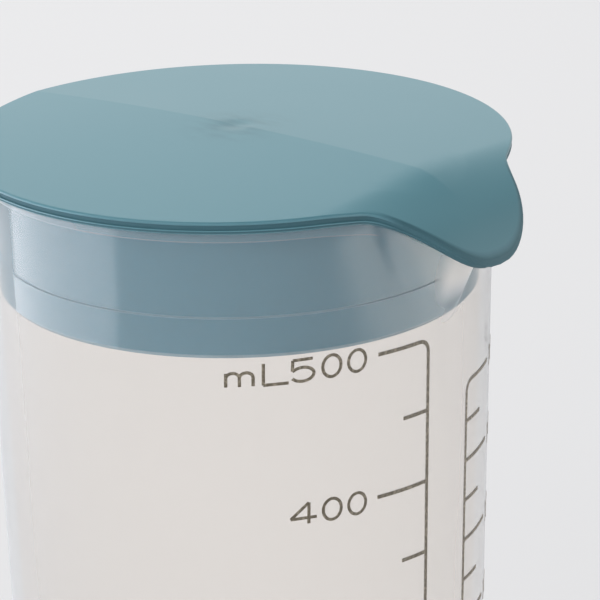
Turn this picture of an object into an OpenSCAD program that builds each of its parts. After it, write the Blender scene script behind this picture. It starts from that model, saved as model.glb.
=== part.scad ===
// Measuring shaker: a graduated beaker with a pour spout and a press-in lid.
// The origin is on the beaker's axis at the table, +Z is up and +X points along the spout.

/* [Beaker] */
// Height of the beaker from the table to its rim
beaker_h = 147.3; // [125:0.1:175]
// Outer radius of the beaker at its rim
rim_r = 39.85; // [38:0.05:46]
// Outer radius of the beaker at the table
base_r = 36.3; // [32:0.05:38.5]
// Thickness of the beaker's wall
wall_t = 1.8; // [1.4:0.1:2.6]
// Thickness of the beaker's floor
floor_t = 1.8; // [1.2:0.1:4]
// Height of the foot ring below the floor
foot_h = 1.2; // [0.6:0.1:2.5]
// Width of the foot ring's standing face
foot_w = 2; // [1:0.1:4]
// Rounding of the outer corner at the table
corner_r = 3; // [1:0.1:6]
// Rounding of the inner corner at the floor
floor_corner_r = 4; // [1:0.1:8]
// Rounding of both edges of the rim
rim_round = 0.5; // [0.2:0.05:0.65]

/* [Pour spout] */
// How far the spout would stand out from the rim before its lip is cut
spout_reach = 7.6; // [5:0.1:9]
// Radius of the spout's bulge at the rim
spout_r = 14; // [11:0.5:17]
// Radius of the spout's bulge at its lower end
spout_foot_r = 6; // [3:0.5:8]
// How far below the rim the spout runs out into the wall
spout_depth = 22; // [16:0.5:30]
// Space between the lip and the tongue that covers it
lip_gap = 1.2; // [0.6:0.1:3]
// How far the lip's dip starts before the tongue's bend does
lip_lead = 2.8; // [1:0.1:4]
// Height above the rim from which the lip's dip comes down
lip_rise = 0.03; // [0.02:0.01:0.12]

/* [Lid] */
// How far the lid's cover stands out past the rim
lid_overhang = 2.7; // [1.5:0.05:4.9]
// Thickness of the lid's cover
cover_t = 1.8; // [1.5:0.1:3]
// Rounding of both edges of the cover
edge_round = 0.7; // [0.2:0.05:0.7]
// Height of the crease at its highest point, above the cover's edge
crease_h = 2.3; // [0.5:0.1:5]
// Height of the crease at the cover's back edge
crease_end_h = 0.55; // [0:0.05:1.5]
// Distance of the crease's highest point from the axis, towards the tongue
crease_peak = 5; // [0:0.5:15]
// Distance past the cover's edge at which the roof's two slopes would run out
roof_spread = 3; // [1:0.25:8]
// Length over which the crease fades out along the tongue
crease_fade = 10; // [4:0.5:16]
// Radius of the moulding dimple at the cover's centre
dimple_r = 3.6; // [1:0.1:6]
// Depth of the moulding dimple
dimple_d = 0.25; // [0.1:0.05:0.9]

/* [Tongue] */
// How far the tongue stands out past the cover's edge, seen from above
tongue_out = 8.2; // [6:0.1:9.5]
// Half of the angle that the tongue takes up on the cover's edge
tongue_half_angle = 25; // [18:0.5:34]
// Fullness of the tongue's outline: 1 is a plain wave, and more makes its end blunter
tongue_fullness = 1.4; // [0.8:0.05:1.8]
// Distance inside the rim at which the tongue starts to bend down
bend_inset = 5; // [4.6:0.05:6.2]
// Radius of the bend, on the cover's upper face
bend_r = 17.4; // [16.6:0.1:28]

/* [Plug] */
// Depth of the plug below the cover
plug_h = 20.75; // [14:0.25:30]
// Thickness of the plug's wall
plug_t = 1.6; // [1:0.1:3]
// Height of the sealing band at the plug's lower end
band_h = 6.35; // [3:0.05:10]
// How far the sealing band stands out from the plug
band_proud = 0.45; // [0.15:0.05:1]
// Space between the sealing band and the beaker's wall
plug_clear = 0.15; // [0.05:0.05:0.4]
// Width of the slope from the plug's wall up to the roof's hollow
hollow_run = 6; // [3:0.5:15]

/* [Printed scales] */
// Highest mark of the millilitre scale
ml_top = 500; // [350:50:500]
// Lowest mark of the millilitre scale
ml_low = 50; // [50:50:200]
// Highest mark of the fluid ounce scale
oz_top = 16; // [10:1:16]
// Lowest mark of the fluid ounce scale
oz_low = 2; // [2:1:6]
// Direction of the millilitre scale's upright line, from the spout
ml_angle = -4.5; // [-60:0.1:-2]
// Direction of the fluid ounce scale's upright line, from the spout
oz_angle = 11.4; // [2:0.1:60]
// Length of the millilitre scale's long marks
ml_long = 9.7; // [5:0.1:14]
// Length of the millilitre scale's short marks
ml_short = 5; // [2.5:0.1:8]
// Length of the fluid ounce scale's long marks
oz_long = 10.1; // [5:0.1:14]
// Length of the fluid ounce scale's short marks
oz_short = 5.7; // [2.5:0.1:8]
// Width of every printed line
line_w = 0.6; // [0.3:0.05:1.2]
// Radius at which an upright line turns into its top mark
turn_r = 1.8; // [1:0.1:2.4]
// Thickness of the ink
ink_t = 0.1; // [0.05:0.01:0.3]
// Space between the ink and the wall below it
ink_gap = 0.02; // [0.01:0.01:0.1]

/* [Hidden] */
$fn = 96;

milky_white = [0.93, 0.93, 0.92];
lid_blue = [0.53, 0.65, 0.69];
ink_brown = [0.38, 0.35, 0.31];

// Number of straight steps in a rounded corner of a turned outline
corner_steps = 6;
// Volume of a millilitre and of an imperial fluid ounce, in cubic millimetres
ml_volume = 1000;
oz_volume = 28413;

// The wall widens by this much in radius for each millimetre of height
taper = (rim_r - base_r) / beaker_h;
taper_angle = atan(taper);
slant = sqrt(1 + taper * taper);
floor_z = foot_h + floor_t;
lid_z = beaker_h + cover_t;
lid_r = rim_r + lid_overhang;

function outer_r(z) = base_r + taper * z;
function inner_r(z) = outer_r(z) - wall_t;

// The plug follows the beaker's taper, and its sealing band stands nearest to the wall
plug_z = beaker_h - plug_h;
band_z = plug_z + band_h;
plug_top_z = lid_z - cover_t / 2;

function band_r(z) = inner_r(z) - plug_clear;
function plug_r(z) = band_r(z) - band_proud;

plug_inner_r = plug_r(plug_z) - plug_t;

// Points on an arc about a centre, from one angle to another
function arc(centre, r, from, to) =
    [for (i = [0 : corner_steps])
        let (a = from + (to - from) * i / corner_steps)
        centre + r * [cos(a), sin(a)]];

// Height at which the beaker holds a given volume, for a cone that stands on its small end
function fill_z(volume) =
    let (r0 = inner_r(floor_z))
    floor_z + (pow(pow(r0, 3) + 3 * taper * volume / PI, 1 / 3) - r0) / taper;

// The beaker's turned outline, from the axis under the floor round to the axis above it
foot_inner_r = outer_r(corner_r) - corner_r * slant - foot_w;
beaker_outline = concat(
    [[0, foot_h], [foot_inner_r - foot_h, foot_h], [foot_inner_r, 0]],
    arc([outer_r(corner_r) - corner_r * slant, corner_r], corner_r, -90, -taper_angle),
    arc([rim_r - rim_round, beaker_h - rim_round], rim_round, 0, 90),
    arc([rim_r - wall_t + rim_round, beaker_h - rim_round], rim_round, 90, 180),
    arc([inner_r(floor_z + floor_corner_r) - floor_corner_r * slant, floor_z + floor_corner_r],
        floor_corner_r, -taper_angle, -90),
    [[0, floor_z]]);

// The cavity alone, run past the rim, clears the spout's bulge out of the beaker's inside
cavity_top = beaker_h + cover_t;
cavity_outline = [
    [0, floor_z + floor_corner_r],
    [inner_r(floor_z + floor_corner_r), floor_z + floor_corner_r],
    [inner_r(cavity_top), cavity_top],
    [0, cavity_top]];

// The spout is a bulge with the shape of a cone whose axis leans outwards a little
spout_foot_z = beaker_h - spout_depth;
spout_top_x = rim_r + spout_reach - spout_r;
spout_foot_x = outer_r(spout_foot_z) - wall_t / 2 - spout_foot_r;
spout_lean = atan((spout_top_x - spout_foot_x) / spout_depth);
spout_length = spout_depth / cos(spout_lean);
spout_flare = (spout_r - spout_foot_r) / spout_length;
spout_wall = wall_t * sqrt(1 + spout_flare * spout_flare);

// The tongue's bend starts on this line across the cover
bend_x = rim_r - bend_inset;
// The lip's cut has the bend's own form, with its own centre a little inside the bend's
lip_cut_r = bend_r - cover_t - lip_gap;

module spout_cone(shrink) {
    translate([spout_foot_x, 0, spout_foot_z])
        rotate([0, spout_lean, 0])
            cylinder(h = spout_length + cover_t,
                     r1 = spout_foot_r - shrink,
                     r2 = spout_foot_r + spout_flare * (spout_length + cover_t) - shrink);
}

// What is cut away above the lip, so that it dips under the tongue
module lip_cut() {
    across = 2 * rim_r;
    bottom = beaker_h + lip_rise - lip_cut_r;
    difference() {
        translate([bend_x - lip_lead, -across / 2, bottom])
            cube([lip_cut_r + spout_r, across, lip_cut_r + spout_depth]);
        translate([bend_x - lip_lead, 0, bottom])
            rotate([90, 0, 0])
                cylinder(h = across + 2 * wall_t, r = lip_cut_r, center = true);
    }
}

// What lies above the rim's plane and is not part of the spout
module above_rim() {
    translate([0, 0, beaker_h])
        cylinder(h = spout_depth, r = rim_r + spout_reach + spout_r);
}

module beaker() {
    color(milky_white)
        difference() {
            union() {
                rotate_extrude()
                    polygon(beaker_outline);
                difference() {
                    spout_cone(0);
                    rotate_extrude()
                        polygon(cavity_outline);
                }
            }
            spout_cone(spout_wall);
            above_rim();
            lip_cut();
        }
}

// The cover: rays about the axis, closer together at the tongue, cross rings of points
cover_rays = 80;
ray_bias = 30;
top_rings = 10;
under_rings = 7;
ring_bias = 1.6;
edge_steps = 2;

function smooth(x) = let (c = min(1, max(0, x))) c * c * (3 - 2 * c);
function ray_angle(i) = 360 * i / cover_rays - ray_bias * sin(360 * i / cover_rays);
function from_tongue(a) = abs(a > 180 ? a - 360 : a);
function tongue_share(a) =
    min(1, pow(from_tongue(a) / tongue_half_angle, tongue_fullness));
function cover_r(a) = lid_r + tongue_out * pow(cos(90 * tongue_share(a)), 2);

// The bend: how far a point at x has gone round it, and how far it has dropped
function bend_run(x) = min(bend_r, max(0, x - bend_x));
function bend_angle(x) = asin(bend_run(x) / bend_r);
function bend_drop(x) = bend_r * (1 - cos(bend_angle(x)));

// The roof: an arched crease along X with a slope on each side
function crease_z(x) =
    crease_h - (crease_h - crease_end_h) * pow((x - crease_peak) / (lid_r + crease_peak), 2);
function crease_share(x) = 1 - smooth((x - bend_x) / crease_fade);
function roof_half_w(x) =
    sqrt(max(pow(roof_spread, 2), pow(lid_r + roof_spread, 2) - x * x));
function roof_z(x, y) = crease_z(x) * crease_share(x) * max(0, 1 - abs(y) / roof_half_w(x));

// A point of the cover at plan radius r on a ray, at a depth below its upper face
function cover_point(a, r, depth, roof_share) =
    let (x = r * cos(a), y = r * sin(a), turn = bend_angle(x))
    [x - depth * sin(turn), y,
     lid_z + roof_share * roof_z(x, y) - bend_drop(x) - depth * cos(turn)];

// A ring of points at a share of the cover's radius, held in from its edge
function cover_ring(share, hold_in, depth, roof_share) =
    [for (i = [0 : cover_rays - 1])
        let (a = ray_angle(i))
        cover_point(a, share * (cover_r(a) - hold_in), depth, roof_share)];

// A ring of the hollow under the cover, where the roof counts only inside the plug
function under_ring(share) =
    [for (i = [0 : cover_rays - 1])
        let (a = ray_angle(i),
             r = share * (cover_r(a) - edge_round),
             inside = (plug_inner_r - r) / hollow_run)
        cover_point(a, r, cover_t, min(1, max(0, inside)))];

function ring_share(j, count) = 1 - pow(1 - j / count, ring_bias);

cover_rings = concat(
    [cover_ring(dimple_r / lid_r, edge_round, 0, 1)],
    [for (j = [1 : top_rings]) cover_ring(ring_share(j, top_rings), edge_round, 0, 1)],
    [for (i = [1 : edge_steps])
        let (a = 90 * i / edge_steps, depth = edge_round * (1 - cos(a)))
        cover_ring(1, edge_round * (1 - sin(a)), depth, 1 - depth / cover_t)],
    [for (i = [0 : edge_steps - 1])
        let (a = 90 * i / edge_steps, depth = cover_t - edge_round * (1 - sin(a)))
        cover_ring(1, edge_round * (1 - cos(a)), depth, 1 - depth / cover_t)],
    [for (j = [0 : under_rings - 1]) under_ring(ring_share(under_rings - j, under_rings))]);

module cover() {
    count = len(cover_rings);
    points = concat(
        [for (ring = cover_rings) each ring],
        [cover_point(0, 0, dimple_d, 1), cover_point(0, 0, cover_t, 1)]);
    top_centre = count * cover_rays;
    under_centre = top_centre + 1;
    last = (count - 1) * cover_rays;
    faces = concat(
        [for (i = [0 : cover_rays - 1]) [top_centre, (i + 1) % cover_rays, i]],
        [for (j = [0 : count - 2], i = [0 : cover_rays - 1], half = [0, 1])
            let (p = j * cover_rays + i,
                 q = j * cover_rays + (i + 1) % cover_rays)
            half == 0
                ? [p, q, q + cover_rays]
                : [p, q + cover_rays, p + cover_rays]],
        [for (i = [0 : cover_rays - 1])
            [under_centre, last + i, last + (i + 1) % cover_rays]]);
    polyhedron(points = points, faces = faces, convexity = 6);
}

plug_outline = [
    [plug_inner_r, plug_z],
    [band_r(plug_z) - band_proud, plug_z],
    [band_r(plug_z + band_proud), plug_z + band_proud],
    [band_r(band_z - band_proud), band_z - band_proud],
    [plug_r(band_z), band_z],
    [plug_r(plug_top_z), plug_top_z],
    [plug_r(plug_top_z) - plug_t, plug_top_z]];

module lid() {
    color(lid_blue)
        union() {
            cover();
            rotate_extrude()
                polygon(plug_outline);
        }
}

// A thin skin over the beaker's wall, in which the printed lines lie
ink_low_z = corner_r;
ink_high_z = plug_z + line_w;

module ink_skin() {
    low = outer_r(ink_low_z) + ink_gap;
    high = outer_r(ink_high_z) + ink_gap;
    rotate_extrude()
        polygon([[low, ink_low_z], [low + ink_t, ink_low_z],
                 [high + ink_t, ink_high_z], [high, ink_high_z]]);
}

// A scale drawn flat, as one comb: an upright line that turns over into its top mark
module scale_lines(marks) {
    last = len(marks) - 1;
    top = marks[last];
    turn = [turn_r, top[1] - turn_r];
    half = line_w / 2;
    polygon(concat(
        [[-half, marks[0][1] - half]],
        arc(turn, turn_r + half, 180, 90),
        [[top[0], top[1] + half], [top[0], top[1] - half]],
        arc(turn, turn_r - half, 90, 180),
        [for (i = [last - 1 : -1 : 0], corner = [[0, 1], [1, 1], [1, -1], [0, -1]])
            [corner[0] == 1 ? marks[i][0] : half, marks[i][1] + corner[1] * half]]));
}

// Marks of a scale below the plug, as pairs of length and height: every second one is long
function scale_marks(low, top, step, unit, long, short) =
    [for (n = [low : step : top])
        let (z = fill_z(n * unit))
        if (z < plug_z)
            [n % (2 * step) == 0 ? long : short, z]];

// The drawing stands up in front of the wall, and the skin keeps its part of it below the spout
module printed(angle) {
    difference() {
        intersection() {
            ink_skin();
            rotate([0, 0, angle])
                rotate([90, 0, 90])
                    linear_extrude(height = 2 * rim_r)
                        children();
        }
        spout_cone(-ink_gap);
    }
}

ml_step = 50;
oz_step = 1;
ml_marks = scale_marks(ml_low, ml_top, ml_step, ml_volume, ml_long, ml_short);
oz_marks = scale_marks(oz_low, oz_top, oz_step, oz_volume, oz_long, oz_short);

module ml_scale() {
    color(ink_brown)
        printed(ml_angle)
            mirror([1, 0])
                scale_lines(ml_marks);
}

module oz_scale() {
    color(ink_brown)
        printed(oz_angle)
            scale_lines(oz_marks);
}

beaker();
lid();
ml_scale();
oz_scale();
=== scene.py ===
import math

import bmesh
import bpy
from mathutils import Matrix, Vector


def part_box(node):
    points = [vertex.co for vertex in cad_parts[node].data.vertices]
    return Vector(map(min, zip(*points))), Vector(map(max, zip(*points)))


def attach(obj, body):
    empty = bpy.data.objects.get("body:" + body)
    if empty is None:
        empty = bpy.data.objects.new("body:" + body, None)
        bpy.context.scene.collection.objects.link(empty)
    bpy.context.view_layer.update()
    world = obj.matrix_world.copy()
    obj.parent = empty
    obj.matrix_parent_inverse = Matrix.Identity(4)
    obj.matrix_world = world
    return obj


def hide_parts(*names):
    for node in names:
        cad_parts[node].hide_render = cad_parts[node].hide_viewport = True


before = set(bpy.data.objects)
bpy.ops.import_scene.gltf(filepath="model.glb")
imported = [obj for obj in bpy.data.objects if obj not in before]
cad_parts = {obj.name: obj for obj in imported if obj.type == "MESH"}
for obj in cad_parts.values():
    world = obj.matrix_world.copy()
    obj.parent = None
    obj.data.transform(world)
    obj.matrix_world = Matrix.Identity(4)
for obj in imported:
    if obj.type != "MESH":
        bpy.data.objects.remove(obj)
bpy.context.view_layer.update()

MM = 0.001
beaker_low, beaker_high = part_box("beaker")
lid_low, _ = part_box("lid")

# Beaker
beaker_h = beaker_high.z
rim_r = -beaker_low.x
base_r = 36.3 * MM
wall_t = 1.8 * MM
floor_t = 1.8 * MM
foot_h = 1.2 * MM
foot_w = 2 * MM
corner_r = 3 * MM
floor_corner_r = 4 * MM
rim_round = 0.5 * MM
rim_band_h = 2.05 * MM
taper = (rim_r - base_r) / beaker_h
slant = math.hypot(1, taper)
taper_angle = math.degrees(math.atan(taper))
floor_z = foot_h + floor_t

# Lid
lid_r = -lid_low.x
cover_t = 1.8 * MM
cover_lift = 0.02 * MM
lid_z = beaker_h + cover_t
under_z = beaker_h + cover_lift
edge_round = 0.27 * MM
edge_round_end = -35
lower_round = 0.2 * MM
groove_in = 0.3 * MM
groove_step = 0.1 * MM
bead_in = 0.06 * MM
bead_half_h = 0.07 * MM
bead_depth = 1.22 * MM
crease_h = 2.3 * MM
crease_end_h = 0.55 * MM
crease_peak = 5 * MM
crease_width = 0.25 * MM
roof_spread = 3 * MM
crease_fade = 10 * MM
dimple_r = 3.6 * MM
dimple_d = 0.25 * MM

# Tongue
tongue_out = 8.2 * MM
tongue_half_angle = 25
tongue_fullness = 1.4
tongue_thicker = 0.12
tongue_root_r = 20 * MM
border_w = 0.22 * MM
border_drop = 0.15 * MM
border_growth = 3
bend_inset = 5 * MM
bend_x = rim_r - bend_inset
bend_r = 17.4 * MM

# Pour spout
spout_reach = 7.6 * MM
spout_depth = 20.5 * MM
spout_half_angle = 23
spout_fullness = 1.5
lip_gap = 1.2 * MM
lip_lead = 2.8 * MM
lip_r = bend_r - cover_t - lip_gap
lip_x = bend_x - lip_lead
lip_rounds = 24
lip_round_share = 0.4

# Plug
plug_z = lid_low.z
plug_t = 1.6 * MM
band_h = 6.35 * MM
band_z = plug_z + band_h
band_proud = 0.3 * MM
band_slope = 0.12 * MM
lead_z = plug_z + 2 * band_proud
# The painted light on the plug's step and foot lead fades over this height
step_and_foot_light_w = 0.1 * MM
plug_clear = 0.15 * MM
plug_fillet = 0.5 * MM
plug_foot_round = 0.3 * MM
hollow_run = 6 * MM
hollow_fillet = 1.2 * MM

# Print
ml_volume = 1e-6
ml_top = 500
ml_step = 100
oz_volume = 28.413e-6
oz_top = 16
oz_step = 2
number_h = 3.4 * MM
number_line = 0.5 * MM
number_space = 2.25 * MM
number_drop = 0.17 * MM
number_slant = 0.03
ml_number_end = -18.7
oz_number_start = 30.2
oz_number_drop = 0.35 * MM
ink_lift = 0.02 * MM
ink_t = 0.07 * MM

# Steps round the axis, and rows of points along the stretches of the two outlines
turn_steps = 288
wall_rows = 6
spout_rows = 22
dimple_steps = 6
top_rows = 18
bend_rows = 14
border_rows = 2
under_rows = 10
plug_rows = 3
# The points next to the crease, a little more than one step of the turning away, in degrees
crease_reach = 400 / turn_steps
weld = 0.001 * MM
sharp_angle = math.radians(38)

# Camera: the pixel where the lid's centre is seen, in the 600 by 600 image, and angles in degrees
image_size = 600
focal_pixels = 3378
lid_pixel = (236.3, 138.1)
view_azimuth = 40.5
view_elevation = 16.69
view_distance = 0.5226
view_roll = -1.49
sensor_width = 36
nearest_seen = 0.01


def clamp(x):
    return min(1.0, max(0.0, x))


def smooth(x):
    share = clamp(x)
    return share * share * (3 - 2 * share)


def outer_r(z):
    return base_r + taper * z


def inner_r(z):
    return outer_r(z) - wall_t


def band_r(z):
    return inner_r(z) - plug_clear


def plug_r(z):
    return band_r(z) - band_proud


plug_inner_r = plug_r(plug_z) - plug_t


def fill_z(volume):
    """Height at which the beaker holds a volume."""
    r0 = inner_r(floor_z)
    return floor_z + ((r0 ** 3 + 3 * taper * volume / math.pi) ** (1 / 3) - r0) / taper


def ellipse(x, y, rx, ry, start=90, end=450, steps=40):
    """Points on an ellipse or a part of one, by angles in degrees."""
    angles = [math.radians(start + (end - start) * i / steps) for i in range(steps + 1)]
    return [(x + rx * math.cos(a), y + ry * math.sin(a)) for a in angles]


def arc(centre, radius, start, end, steps=6):
    """Points on an arc, in degrees from the radial direction."""
    return ellipse(centre[0], centre[1], radius, radius, start, end, steps)


def between(start, end, count):
    """Points strictly between two others, evenly spaced."""
    shares = [i / (count + 1) for i in range(1, count + 1)]
    return [tuple(a + (b - a) * s for a, b in zip(start, end)) for s in shares]


def put_in_order(parts, place):
    """Gives vertices or faces the same order in every run, by where they are."""
    rank = {part: i for i, part in enumerate(sorted(parts, key=place))}
    parts.sort(key=rank.get)


def turned(outline):
    """A closed solid: an outline from the axis round to the axis, turned about Z."""
    bm = bmesh.new()
    verts = [bm.verts.new((r, 0, z)) for r, z in outline]
    edges = [bm.edges.new(pair) for pair in zip(verts, verts[1:])]
    bmesh.ops.spin(bm, geom=verts + edges, cent=(0, 0, 0), axis=(0, 0, 1),
                   angle=math.tau, steps=turn_steps, use_merge=True)
    bmesh.ops.remove_doubles(bm, verts=bm.verts, dist=weld)
    bmesh.ops.recalc_face_normals(bm, faces=bm.faces)
    put_in_order(bm.verts, lambda vert: tuple(vert.co))
    put_in_order(bm.faces, lambda face: tuple(face.calc_center_median()))
    return bm


def piece(name, bm, finish, body):
    """A bmesh as a named piece that rides on a body."""
    for edge in bm.edges:
        edge.smooth = edge.calc_face_angle(0) < sharp_angle
    for face in bm.faces:
        face.smooth = True
    mesh = bpy.data.meshes.new(name)
    bm.to_mesh(mesh)
    bm.free()
    mesh.materials.append(finish)
    made = bpy.data.objects.new(name, mesh)
    bpy.context.collection.objects.link(made)
    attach(made, body)
    return made


class Value:
    """A socket of a node graph, with arithmetic that adds Math nodes."""

    def __init__(self, graph, socket):
        self.graph = graph
        self.socket = socket

    def math(self, operation, first, second=0.0):
        return self.graph.node("ShaderNodeMath", {"operation": operation}, {0: first, 1: second})

    def __add__(self, other):
        return self.math("ADD", self, other)

    def __sub__(self, other):
        return self.math("SUBTRACT", self, other)

    def __rsub__(self, other):
        return self.math("SUBTRACT", other, self)

    def __mul__(self, other):
        return self.math("MULTIPLY", self, other)

    def __truediv__(self, other):
        return self.math("DIVIDE", self, other)

    def __rtruediv__(self, other):
        return self.math("DIVIDE", other, self)

    def __pow__(self, other):
        return self.math("POWER", self, other)

    __radd__ = __add__
    __rmul__ = __mul__


class Graph:
    """The nodes of a material or of the world, added by expressions."""

    def __init__(self, owner):
        owner.use_nodes = True
        self.owner = owner
        self.tree = owner.node_tree
        self.tree.nodes.clear()

    def node(self, kind, settings=None, inputs=None, output=0):
        made = self.tree.nodes.new(kind)
        for key, value in (settings or {}).items():
            setattr(made, key, value)
        for key, value in (inputs or {}).items():
            if isinstance(value, Value):
                self.tree.links.new(value.socket, made.inputs[key])
            else:
                made.inputs[key].default_value = value
        return Value(self, made.outputs[output]) if made.outputs else None

    def place(self):
        return self.node("ShaderNodeTexCoord", output="Object")

    def attribute(self, name):
        return self.node("ShaderNodeAttribute", {"attribute_name": name}, output="Fac")

    def stretched(self, place, scale):
        return self.node("ShaderNodeMapping", inputs={"Vector": place, "Scale": scale})

    def noise(self, place, scale, detail, rough=0.5):
        return self.node("ShaderNodeTexNoise", inputs={
            "Vector": place, "Scale": scale, "Detail": detail, "Roughness": rough})

    def ramp(self, value, low, high):
        """0 below low, 1 above high, smooth between."""
        return self.node("ShaderNodeMapRange", {"interpolation_type": "SMOOTHSTEP"},
                         {0: value, 1: low, 2: high})

    def blend(self, share, first, second):
        return self.node("ShaderNodeMix", {"data_type": "RGBA"},
                         {0: share, 6: first, 7: second}, 2)

    def bump(self, height, strength, distance):
        return self.node("ShaderNodeBump", inputs={
            "Height": height, "Strength": strength, "Distance": distance})

    def ray(self, kind):
        return self.node("ShaderNodeLightPath", output=kind)

    def looked_at(self):
        """1 on rays from the eye, from a reflection or through something clear, 0 on others."""
        rays = self.ray("Is Camera Ray") + self.ray("Is Glossy Ray")
        return self.node("ShaderNodeClamp", inputs={0: rays + self.ray("Is Transmission Ray")})

    def surface(self, shader):
        self.node("ShaderNodeOutputMaterial", inputs={"Surface": shader})
        return self.owner


def plain(red, green, blue):
    return (red, green, blue, 1.0)


# Lid plastic: tones, how strongly each is laid on, and what each place adds to the roughness
cover_blue = plain(0.098, 0.254, 0.305)
cover_blue_pale = plain(0.114, 0.271, 0.321)
flow_blue = plain(0.07, 0.19, 0.23)
plug_blue = plain(0.082, 0.238, 0.328)
# The next tone is painted shade, laid in the edge's groove and along the tongue's border.
groove_shade_blue = plain(0.035, 0.105, 0.13)
# The next tone is painted light on the plug's step and foot lead, so that their slopes show no dark
# line.
step_and_foot_light_blue = plain(0.42, 0.56, 0.65)
flow_share = 0.75
groove_shade_share = 0.8
step_and_foot_light_share = 0.6
flow_full_r = 2 * MM
flow_end_r = 11 * MM
plug_rough = 0.14
cover_rougher = 0.16
cloud_rougher = 0.06
groove_rougher = 0.4
grain_strength = 0.12
grain_depth = 0.02 * MM


def lid_plastic():
    """Matt blue-grey plastic: a fine moulded grain, a flow mark at the gate, a smooth plug. The
    edge's groove and the tongue's border carry painted shade, the plug's step and foot painted
    light.
    """
    g = Graph(bpy.data.materials.new("lid_plastic"))
    place = g.place()
    from_axis = g.node("ShaderNodeVectorMath", {"operation": "LENGTH"},
                       {0: g.stretched(place, (1, 1, 0))}, "Value")
    clouds = g.noise(place, scale=45, detail=4)
    grain = g.noise(place, scale=5200, detail=2)
    flow = g.noise(g.stretched(place, (1, 2.2, 1)), scale=260, detail=3)
    plug = g.attribute("plug")
    groove_shade = g.attribute("groove_shade")
    step_and_foot_light = g.attribute("step_and_foot_light")
    cover = 1 - plug
    mark = (1 - g.ramp(from_axis, flow_full_r, flow_end_r)) * g.ramp(flow, 0.25, 0.75) * cover
    colour = g.blend(clouds, cover_blue, cover_blue_pale)
    colour = g.blend(mark * flow_share, colour, flow_blue)
    colour = g.blend(plug, colour, plug_blue)
    # Painted shade in the edge's groove and along the tongue's border
    colour = g.blend(groove_shade * groove_shade_share, colour, groove_shade_blue)
    # Painted light on the plug's step and foot lead
    colour = g.blend(step_and_foot_light * step_and_foot_light_share, colour, step_and_foot_light_blue)
    rough = plug_rough + cover * (cover_rougher + clouds * cloud_rougher) + groove_shade * groove_rougher
    return g.surface(g.node("ShaderNodeBsdfPrincipled", inputs={
        "Base Color": colour,
        "Roughness": rough,
        "IOR": 1.5,
        "Normal": g.bump(grain * cover, grain_strength, grain_depth)}))


# Milky plastic: tones, and how densely each place scatters light when it is seen straight on
milk_cool = plain(0.79, 0.82, 0.87)
milk_cool_pale = plain(0.83, 0.86, 0.9)
# The next tone is painted light: it makes the spout a warm pale patch, standing in for light coming
# through it.
spout_painted_light = plain(0.98, 0.95, 0.91)
passed_warm = plain(0.998, 0.98, 0.961)
wall_density = 0.15
patch_density = 0.02
# The spout's extra density is partly the longer way through the plastic seen edge-on and partly
# painted light, for its pale patch.
spout_density = 0.04
spout_flank_density = 0.78
rim_density = 0.08
densest = 0.96
# The way through the wall is longer where it is seen edge-on; this keeps it from being endless
edge_on_end = 1.12
rim_fade = 0.1 * MM
rim_line_start = 0.25 * MM
rim_line_full = 0.15 * MM
milk_rough = 0.36
patch_rougher = 0.08
wave_strength = 0.1
wave_depth = 0.05 * MM


def milky_plastic():
    """Milky plastic: it scatters cool light, lets warm light through and is denser at the rim. The
    spout carries a painted warm light patch.
    """
    g = Graph(bpy.data.materials.new("milky_plastic"))
    place = g.place()
    patches = g.noise(place, scale=30, detail=4)
    waves = g.noise(place, scale=110, detail=1)
    rim_depth = g.attribute("rim_depth")
    drawn = g.attribute("drawn")
    inside = g.attribute("inside")
    grazing = g.node("ShaderNodeLayerWeight", inputs={"Blend": 0.5}, output="Facing")
    below_rim = g.ramp(rim_depth, rim_band_h - rim_fade, rim_band_h)
    rim = (1 - below_rim) * (1 - g.ramp(drawn, 0, 0.1))
    rim_line = rim * g.ramp(rim_depth, rim_band_h - rim_line_start, rim_band_h - rim_line_full)
    spout = g.ramp(drawn, 0.14, 0.45)
    flank = g.ramp(grazing, 0.3, 0.56)
    dense = (wall_density + patches * patch_density
             + spout * (spout_density + flank * spout_flank_density)
             + rim * rim_density + rim_line * rim_density)
    dense = g.node("ShaderNodeClamp", inputs={0: dense, 2: densest})
    haze = (1 - inside) * (1 - (1 - dense) ** (1 / (edge_on_end - grazing)))
    colour = g.blend(patches, milk_cool, milk_cool_pale)
    # Painted light: the spout is painted warm and pale, as light coming through it
    colour = g.blend(spout, colour, spout_painted_light)
    scattered = g.node("ShaderNodeBsdfPrincipled", inputs={
        "Base Color": colour,
        "Roughness": milk_rough + patches * patch_rougher,
        "IOR": 1.45,
        "Specular IOR Level": 0.3,
        "Normal": g.bump(waves, wave_strength, wave_depth)})
    passed = g.node("ShaderNodeBsdfTransparent", inputs={"Color": passed_warm})
    return g.surface(g.node("ShaderNodeMixShader", inputs={0: haze, 1: passed, 2: scattered}))


# Ink: tones, the last of them for the side that lies on the wall
ink_dark = plain(0.1, 0.08, 0.052)
ink_speck = plain(0.36, 0.31, 0.235)
ink_thin = plain(0.2, 0.165, 0.115)
ink_back = plain(0.68, 0.67, 0.66)
thin_share = 0.5
ink_rough = 0.5
speck_rougher = 0.2
speck_strength = 0.2
speck_depth = 0.02 * MM
back_fade = 2 * MM


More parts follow.
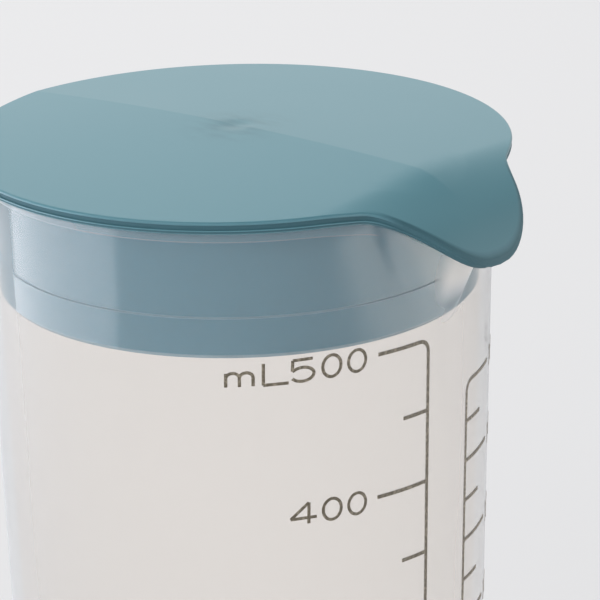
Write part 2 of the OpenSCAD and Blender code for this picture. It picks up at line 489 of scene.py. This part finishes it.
def scale_ink():
    """Brown-grey screen print: uneven cover, with lighter specks."""
    g = Graph(bpy.data.materials.new("scale_ink"))
    place = g.place()
    specks = g.noise(place, scale=1900, detail=3, rough=0.7)
    patches = g.noise(place, scale=700, detail=2)
    colour = g.blend(g.ramp(specks, 0.42, 0.66), ink_dark, ink_speck)
    colour = g.blend(patches * thin_share, colour, ink_thin)
    normal = g.node("ShaderNodeNewGeometry", output="Normal")
    outwards = g.node("ShaderNodeVectorMath", {"operation": "DOT_PRODUCT"},
                      {0: normal, 1: g.stretched(place, (1, 1, 0))}, "Value")
    colour = g.blend(g.ramp(outwards, -back_fade, back_fade), ink_back, colour)
    return g.surface(g.node("ShaderNodeBsdfPrincipled", inputs={
        "Base Color": colour,
        "Roughness": ink_rough + specks * speck_rougher,
        "Normal": g.bump(specks, speck_strength, speck_depth)}))


def spout_share(angle, depth):
    """How much of the spout's reach a point of the wall has, by its angle and its depth."""
    left = clamp(1 - depth / spout_depth)
    if left == 0:
        return 0
    turn = abs(math.degrees(angle)) / (spout_half_angle * math.sqrt(left))
    return left * math.cos(math.pi / 2 * min(1, turn ** spout_fullness)) ** 2


def lip_drop(angle):
    """How far the rim dips at an angle, so that the lip stays under the tongue."""
    drop = 0
    for _ in range(lip_rounds):
        x = (rim_r - taper * drop + spout_reach * spout_share(angle, drop)) * math.cos(angle)
        run = clamp((x - lip_x) / lip_r)
        drop += lip_round_share * (lip_r * (1 - math.sqrt(1 - run * run)) - drop)
    return drop


def beaker_outline():
    """The beaker's section, from the axis under the floor round to the axis above it."""
    foot_r = outer_r(corner_r) - corner_r * slant
    foot_inner_r = foot_r - foot_w
    top_z = beaker_h - rim_round
    low_z = beaker_h - spout_depth
    under = [(0, foot_h), (foot_inner_r - foot_h, foot_h), (foot_inner_r, 0)]
    corner = arc((foot_r, corner_r), corner_r, -90, -taper_angle)
    outer_low = (outer_r(low_z), low_z)
    outer_side = between(corner[-1], outer_low, wall_rows) + [outer_low]
    outer_rim = arc((rim_r - rim_round, top_z), rim_round, 0, 90)
    inner_rim = arc((rim_r - wall_t + rim_round, top_z), rim_round, 90, 180)
    inner_low = (inner_r(low_z), low_z)
    floor_corner_z = floor_z + floor_corner_r
    floor_corner = arc((inner_r(floor_corner_z) - floor_corner_r * slant, floor_corner_z),
                       floor_corner_r, -taper_angle, -90)
    return (under + corner + outer_side + between(outer_low, outer_rim[0], spout_rows)
            + outer_rim + inner_rim
            + between(inner_rim[-1], inner_low, spout_rows) + [inner_low]
            + between(inner_low, floor_corner[0], wall_rows) + floor_corner + [(0, floor_z)])


def shape_spout(bm):
    """Draws the wall out into the spout and lowers its lip."""
    drops = {}
    rim_depth = bm.verts.layers.float.new("rim_depth")
    inside = bm.verts.layers.float.new("inside")
    drawn = bm.verts.layers.float.new("drawn")
    for vert in bm.verts:
        depth = beaker_h - vert.co.z
        radius = math.hypot(vert.co.x, vert.co.y)
        vert[rim_depth] = depth
        vert[inside] = vert.co.z > foot_h + weld and radius < outer_r(vert.co.z) - wall_t / 2
        if depth > spout_depth or radius < weld:
            continue
        angle = math.atan2(vert.co.y, vert.co.x)
        key = round(angle, 5)
        if key not in drops:
            drops[key] = lip_drop(angle)
        depth = drops[key] + depth * (1 - drops[key] / spout_depth)
        vert[drawn] = spout_share(angle, depth)
        radius += spout_reach * vert[drawn]
        vert.co = (radius * math.cos(angle), radius * math.sin(angle), beaker_h - depth)


def cover_reach(angle):
    """How far the tongue stands out at an angle."""
    share = min(1, (abs(math.degrees(angle)) / tongue_half_angle) ** tongue_fullness)
    return tongue_out * math.cos(math.pi / 2 * share) ** 2


def roof(x, y):
    """Height of the creased roof above the cover's edge."""
    from_peak = (x - crease_peak) / (lid_r + crease_peak)
    crest = crease_h - (crease_h - crease_end_h) * from_peak ** 2
    crest *= 1 - smooth((x - bend_x) / crease_fade)
    half_w = math.sqrt(max(roof_spread ** 2, (lid_r + roof_spread) ** 2 - x * x))
    return crest * max(0, 1 - abs(y) / half_w)


def lid_outline():
    """The lid's section, from the dimple on the axis round to the axis inside the plug."""
    edge_in = lid_r - edge_round
    shares = [i / dimple_steps for i in range(dimple_steps + 1)]
    dimple = [(share * dimple_r, lid_z - dimple_d * (1 - smooth(share))) for share in shares]
    bend = (bend_x, lid_z)
    border = (edge_in - border_w, lid_z)
    top = between(dimple[-1], bend, top_rows) + [bend]
    top += between(bend, border, bend_rows) + [border]
    top += between(border, (edge_in, lid_z), border_rows)
    upper = arc((edge_in, lid_z - edge_round), edge_round, 90, edge_round_end, steps=7)
    groove_r = lid_r - groove_in
    bead_r = lid_r - bead_in
    bead_z = lid_z - bead_depth
    side_edge = [(groove_r, upper[-1][1] - groove_step), (groove_r, bead_z + 2 * bead_half_h),
                 (bead_r, bead_z + bead_half_h), (bead_r, bead_z - bead_half_h),
                 (groove_r, bead_z - 2 * bead_half_h)]
    lower = arc((groove_r - lower_round, under_z + lower_round), lower_round, 0, -90, steps=4)
    fillet_z = under_z - plug_fillet
    fillet = arc((plug_r(fillet_z) + plug_fillet, fillet_z), plug_fillet, 90, 180, steps=4)
    under = between(lower[-1], fillet[0], under_rows)
    step_z = band_z + band_slope
    side_z = step_z + step_and_foot_light_w
    side = between(fillet[-1], (plug_r(side_z), side_z), plug_rows)
    side += [(plug_r(side_z), side_z), (plug_r(step_z), step_z)]
    band = [(band_r(z), z) for z in (band_z, band_z - step_and_foot_light_w, band_z - band_proud,
                                     lead_z + band_proud, lead_z + step_and_foot_light_w, lead_z)]
    foot_z = plug_z + plug_foot_round
    foot = arc((band_r(plug_z) - band_proud - plug_foot_round, foot_z),
               plug_foot_round, 0, -90, steps=3)
    foot += arc((plug_inner_r + plug_foot_round, foot_z), plug_foot_round, -90, -180, steps=3)
    hollow_r = plug_r(under_z) - plug_t
    hollow = arc((hollow_r - hollow_fillet, under_z - hollow_fillet), hollow_fillet, 0, 90, steps=5)
    ceiling = between(hollow[-1], (0, under_z), top_rows) + [(0, under_z)]
    return (dimple + top + upper + side_edge + lower + under + fillet + side + band + foot
            + between(foot[-1], hollow[0], plug_rows) + hollow + ceiling)


def shape_cover(bm):
    """Draws out the tongue, bends it down and raises the creased roof."""
    under_in = plug_r(under_z) + plug_fillet
    lower_in = lid_r - groove_in - lower_round
    # Layers for painted shade in the groove and along the tongue's border, for the plug, and for
    # painted light on the plug's step and foot lead
    groove_shade = bm.verts.layers.float.new("groove_shade")
    plug = bm.verts.layers.float.new("plug")
    step_and_foot_light = bm.verts.layers.float.new("step_and_foot_light")
    for vert in bm.verts:
        depth = lid_z - vert.co.z
        radius = math.hypot(vert.co.x, vert.co.y)
        if vert.co.z < under_z - weld:
            vert[plug] = 1
            # The plug's step and foot lead are marked for painted light
            on_step = abs(vert.co.z - band_z - band_slope / 2) < band_slope / 2 + weld
            on_lead = vert.co.z < lead_z + weld
            vert[step_and_foot_light] = radius > plug_inner_r + plug_t / 2 and (on_step or on_lead)
            continue
        angle = math.atan2(vert.co.y, vert.co.x)
        below = depth > cover_t / 2
        start = under_in if below else tongue_root_r
        stretch = clamp((radius - start) / (lower_in - start))
        reach = cover_reach(angle)
        share = reach / tongue_out
        grooved = abs(radius - lid_r + groove_in) < weld
        edge_in = lower_in if below else lid_r - edge_round - border_w
        # The groove and the tongue's border are marked for painted shade
        border = smooth(border_growth * share) if radius > edge_in - weld else 0
        vert[groove_shade] = 1 if grooved else border
        if not below:
            depth += border_drop * border * clamp((radius - edge_in) / border_w)
        if grooved:
            radius += (groove_in - bead_in) * share
        radius += reach * stretch
        depth *= 1 + tongue_thicker * stretch * share
        x = radius * math.cos(angle)
        y = radius * math.sin(angle)
        if radius > dimple_r and math.degrees(math.asin(abs(y) / radius)) < crease_reach:
            y = math.copysign(min(abs(y), crease_width), y)
        if below and radius < plug_inner_r + hollow_run:
            share = clamp((plug_inner_r - radius) / hollow_run)
        elif stretch == 1:
            share = clamp(1 - depth / cover_t)
        else:
            share = 0 if below else 1
        turn = math.asin(clamp((x - bend_x) / bend_r))
        bent_z = lid_z - bend_r * (1 - math.cos(turn)) - depth * math.cos(turn)
        vert.co = (x - depth * math.sin(turn), y, bent_z + share * roof(x, y))


# Each sign's width, the space after it and its strokes, in shares of a figure's height
SIGNS = {
    "0": (0.84, 0.36, [ellipse(0.42, 0.5, 0.42, 0.5)]),
    "1": (0.14, 0.5, [[(0.14, 1), (0.14, 0)], [(0.14, 1), (0, 0.87)]]),
    "2": (0.84, 0.4, [ellipse(0.42, 0.68, 0.39, 0.32, 165, -38, 20) + [(0.02, 0)],
                      [(0, 0), (0.86, 0)]]),
    "3": (0.84, 0.4, [ellipse(0.42, 0.76, 0.34, 0.24, 160, -90, 20),
                      ellipse(0.42, 0.27, 0.42, 0.27, 80, -160, 20)]),
    "4": (1.18, 0.3, [[(0.82, 0), (0.82, 1)], [(0.82, 1), (0, 0.28)],
                      [(0, 0.28), (1.18, 0.28)]]),
    "5": (1.0, 0.4, [[(0.94, 1), (0.06, 1)], [(0.06, 1), (0.04, 0.5)],
                     [(0.04, 0.5)] + ellipse(0.49, 0.32, 0.51, 0.32, 140, -152, 24)]),
    "6": (0.86, 0.38, [ellipse(0.43, 0.32, 0.42, 0.32),
                       ellipse(0.8, 0.36, 0.79, 0.64, 100, 178, 12)]),
    "8": (0.86, 0.38, [ellipse(0.43, 0.76, 0.35, 0.24), ellipse(0.43, 0.27, 0.42, 0.27)]),
    "m": (1.18, 0.44, [[(0, 0), (0, 0.64)],
                       ellipse(0.295, 0.4, 0.295, 0.24, 180, 0, 14) + [(0.59, 0)],
                       ellipse(0.885, 0.4, 0.295, 0.24, 180, 0, 14) + [(1.18, 0)]]),
    "L": (1.1, 0.12, [[(0, 1), (0, 0)], [(0, 0), (1.1, 0)]]),
    "o": (0.7, 0.36, [ellipse(0.35, 0.32, 0.35, 0.32)]),
    "z": (0.62, 0.4, [[(0, 0.64), (0.62, 0.64)], [(0.62, 0.64), (0, 0)], [(0, 0), (0.62, 0)]]),
}


def words_width(words):
    shares = sum(SIGNS[sign][0] + SIGNS[sign][1] for sign in words)
    return number_h * (shares - SIGNS[words[-1]][1])


def words_curve(words, left, middle_z, splines):
    """Adds a word's strokes to a flat curve, as seen from outside, along a slightly rising line."""
    run = 0
    for sign in words:
        width, space, strokes = SIGNS[sign]
        for stroke in strokes:
            spline = splines.new("POLY")
            spline.points.add(len(stroke) - 1)
            for point, (x, y) in zip(spline.points, stroke):
                along = run + x * number_h
                rise = number_slant * along + (y - 0.5) * number_h
                point.co = (left + along, middle_z + rise, 0, 1)
        run += (width + space) * number_h


def printed_words(name, rows, finish):
    """Numbers drawn flat with a round pen, pressed thin and wrapped on the wall."""
    curve = bpy.data.curves.new(name, "CURVE")
    curve.dimensions = "3D"
    curve.bevel_depth = number_line / 2
    curve.bevel_resolution = 2
    curve.use_fill_caps = True
    for words, left, middle_z in rows:
        words_curve(words, left, middle_z, curve.splines)
    drawn = bpy.data.objects.new(name, curve)
    bpy.context.collection.objects.link(drawn)
    bm = bmesh.new()
    bm.from_mesh(drawn.evaluated_get(bpy.context.evaluated_depsgraph_get()).to_mesh())
    bpy.data.objects.remove(drawn)
    bpy.data.curves.remove(curve)
    for vert in bm.verts:
        along, z, height = vert.co
        radius = outer_r(z) + ink_lift + ink_t / 2 + height * ink_t / number_line
        angle = along / outer_r(z)
        vert.co = (radius * math.cos(angle), radius * math.sin(angle), z)
    bmesh.ops.recalc_face_normals(bm, faces=bm.faces)
    return piece(name, bm, finish, "beaker")


def ml_rows():
    """Each row's words, its left end along the wall and the height of its middle there."""
    for ml in range(ml_step, ml_top + 1, ml_step):
        words = ("mL" if ml == ml_top else "") + str(ml)
        z = fill_z(ml * ml_volume)
        right = math.radians(ml_number_end) * outer_r(z) - number_space
        width = words_width(words)
        yield words, right - width, z - number_drop - number_slant * width


def oz_rows():
    for oz in range(oz_step, oz_top + 1, oz_step):
        words = str(oz) + ("oz" if oz == oz_top else "")
        z = fill_z(oz * oz_volume)
        yield words, math.radians(oz_number_start) * outer_r(z), z - oz_number_drop


def direction(azimuth, elevation):
    """The way from the beaker to a camera or a light, by angles in degrees."""
    a = math.radians(azimuth)
    e = math.radians(elevation)
    return Vector((math.sin(a) * math.cos(e), -math.cos(a) * math.cos(e), math.sin(e)))


def photo_camera():
    """The photograph's camera, turned so that the lid's centre falls on its pixel."""
    camera = bpy.data.objects.new("camera", bpy.data.cameras.new("camera"))
    bpy.context.collection.objects.link(camera)
    camera.data.sensor_width = sensor_width
    camera.data.lens = focal_pixels * sensor_width / image_size
    camera.data.clip_start = nearest_seen
    back = direction(view_azimuth, view_elevation)
    seen = Vector(((lid_pixel[0] - image_size / 2) / focal_pixels,
                   (image_size / 2 - lid_pixel[1]) / focal_pixels, -1)).normalized()
    look = back.to_track_quat("Z", "Y").to_matrix()
    roll = Matrix.Rotation(math.radians(view_roll), 3, "Z")
    aim = Vector((0, 0, -1)).rotation_difference(seen).to_matrix()
    turn = look @ roll @ aim.inverted()
    spot = Vector((0, 0, lid_z)) + back * view_distance
    camera.matrix_world = Matrix.Translation(spot) @ turn.to_4x4()
    bpy.context.scene.camera = camera


def softbox(name, azimuth, elevation, distance, width, height, glow, colour, sheen=False):
    """An area light that faces the beaker, and either lights it or only shows as its sheen."""
    light = bpy.data.lights.new(name, "AREA")
    light.shape = "RECTANGLE"
    light.size = width
    light.size_y = height
    light.energy = glow * math.pi * width * height
    light.color = colour
    made = bpy.data.objects.new(name, light)
    bpy.context.collection.objects.link(made)
    back = direction(view_azimuth + azimuth, elevation)
    spot = Vector((0, 0, beaker_h / 2)) + back * distance
    made.matrix_world = (Matrix.Translation(spot)
                         @ back.to_track_quat("Z", "Y").to_matrix().to_4x4())
    made.visible_camera = False
    made.visible_diffuse = not sheen
    made.visible_glossy = sheen


def studio_lights():
    softbox("left_panel", azimuth=-94, elevation=0, distance=0.27, width=0.4, height=0.15,
            glow=3.6, colour=(0.93, 0.98, 1.1), sheen=True)
    softbox("right_panel", azimuth=85, elevation=-4, distance=0.32, width=0.58, height=0.16,
            glow=2.9, colour=(0.95, 0.98, 1.0), sheen=True)
    softbox("left_softbox", azimuth=-34, elevation=24, distance=1.5, width=1.1, height=1.1,
            glow=2.7, colour=(0.95, 1.0, 1.04))
    softbox("right_softbox", azimuth=110, elevation=6, distance=1.2, width=0.7, height=0.6,
            glow=1.75, colour=(1.05, 1.0, 0.95))
    softbox("top_softbox", azimuth=-156, elevation=48, distance=1.3, width=1.2, height=0.95,
            glow=3.9, colour=(1.0, 1.0, 1.0))


# Studio: tones as they light the beaker and as they are seen
floor_half = 6
floor_lit = plain(0.7, 0.7, 0.705)
floor_seen = plain(0.8, 0.8, 0.812)
floor_seen_share = 0.7
surround_lit = plain(0.37, 0.37, 0.375)
surround_seen = plain(1.0, 1.0, 1.0)
ceiling_dark = plain(0.1, 0.1, 0.1)
ceiling_start = 0.51
ceiling_full = 0.63


def studio_pale():
    """A pale surface that shows one even tone to the eye and still takes shadows."""
    g = Graph(bpy.data.materials.new("pale_floor"))
    lit = g.node("ShaderNodeBsdfDiffuse", inputs={"Color": floor_lit})
    glow = g.node("ShaderNodeEmission", inputs={"Color": floor_seen, "Strength": 1.0})
    share = g.looked_at() * floor_seen_share
    return g.surface(g.node("ShaderNodeMixShader", inputs={0: share, 1: lit, 2: glow}))


def studio_floor():
    bm = bmesh.new()
    bmesh.ops.create_grid(bm, x_segments=1, y_segments=1, size=floor_half)
    mesh = bpy.data.meshes.new("floor")
    bm.to_mesh(mesh)
    bm.free()
    floor = bpy.data.objects.new("floor", mesh)
    bpy.context.collection.objects.link(floor)
    mesh.materials.append(studio_pale())


def studio_surround():
    """Even light from all round, seen as white, with a dark ceiling in reflections alone."""
    world = bpy.data.worlds.new("studio")
    bpy.context.scene.world = world
    g = Graph(world)
    around = g.node("ShaderNodeTexCoord", output="Generated")
    height = g.node("ShaderNodeSeparateXYZ", inputs={0: around}, output="Z")
    ceiling = g.ramp(height, ceiling_start, ceiling_full) * g.ray("Is Glossy Ray")
    colour = g.blend(g.looked_at(), surround_lit, surround_seen)
    colour = g.blend(ceiling, colour, ceiling_dark)
    shade = g.node("ShaderNodeBackground", inputs={"Color": colour, "Strength": 1.0})
    g.node("ShaderNodeOutputWorld", inputs={"Surface": shade})


photo_camera()
studio_lights()
studio_floor()
studio_surround()
bpy.context.scene.view_settings.view_transform = "Standard"

milky = milky_plastic()
ink = scale_ink()

beaker_mesh = turned(beaker_outline())
shape_spout(beaker_mesh)
beaker = piece("beaker_shell", beaker_mesh, milky, "beaker")
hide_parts("beaker")

lid_mesh = turned(lid_outline())
shape_cover(lid_mesh)
lid = piece("lid_shell", lid_mesh, lid_plastic(), "lid")
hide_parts("lid")

for name in ("ml_scale", "oz_scale"):
    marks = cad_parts[name].data.materials
    marks.clear()
    marks.append(ink)

printed_words("ml_numbers", ml_rows(), ink)
printed_words("oz_numbers", oz_rows(), ink)
